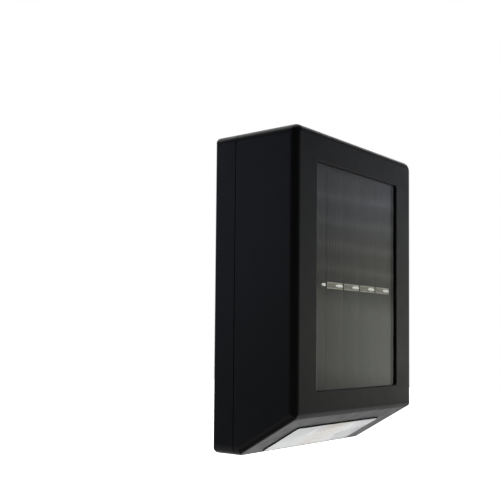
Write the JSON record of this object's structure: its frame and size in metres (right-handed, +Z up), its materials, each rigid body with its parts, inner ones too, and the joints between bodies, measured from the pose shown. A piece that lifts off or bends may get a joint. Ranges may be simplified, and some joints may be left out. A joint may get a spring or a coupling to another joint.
{
  "type": "solar wall light",
  "caption": "Slim rectangular solar wall light: a black housing with a solar panel in its front window, a lens in its slanted underside and keyholes in its back.",
  "frame": {"origin": "centre of the flat back face, on the wall's plane", "axes": "+Z up, +X to the right seen from the front, -Y out of the wall towards the front"},
  "size_m": [0.085, 0.038, 0.12],
  "materials": {
    "housing": "fine satin moulded texture",
    "gasket": "matt",
    "screw": "zinc plated",
    "pane": "clear gloss",
    "tape": "foam",
    "panel_back": "satin board",
    "cell": "dark silicon with fine fingers",
    "ribbon": "tinned copper",
    "lens": "clear with fine ribs",
    "reflector": "white",
    "lamp_board": "white solder mask",
    "led": "phosphor",
    "board": "green solder mask",
    "chip": "moulded",
    "ferrite": "sintered",
    "capacitor": "sleeve",
    "switch_shell": "pressed",
    "knob": "moulded",
    "battery": "sleeve",
    "contact": "nickel plated",
    "seal": "foam",
    "lead": "insulated lead"
  },
  "bodies": {
    "housing": {"front_housing": "housing", "rear_cover": "housing", "housing_gasket": "gasket", "housing_screws": "screw", "panel_window": "pane", "panel_tape": "tape", "panel_board": "panel_back", "solar_cells": "cell", "cell_ribbons": "ribbon", "light_lens": "lens", "reflector": "reflector", "led_board": "lamp_board", "leds": "led", "reflector_screws": "screw", "control_board": "board", "board_screws": "screw", "driver_chip": "chip", "driver_inductor": "ferrite", "driver_capacitor": "capacitor", "switch_body": "switch_shell", "battery_cell": "battery", "battery_plate": "contact", "battery_spring": "contact", "door_seal": "seal", "solar_leads": "lead", "battery_leads": "lead", "lamp_leads": "lead"},
    "switch": {"switch_knob": "knob"},
    "door": {"battery_door": "housing"}
  },
  "joints": [
    {"name": "power_switch", "type": "slide", "parent": "housing", "child": "switch", "axis": [1, 0, 0], "range_m": [0, 0.003]},
    {"name": "battery_door_hinge", "type": "hinge", "parent": "housing", "child": "door", "pos_m": [0, -0.0013, -0.00105], "axis": [1, 0, 0], "range_deg": [0, 90]}
  ]
}
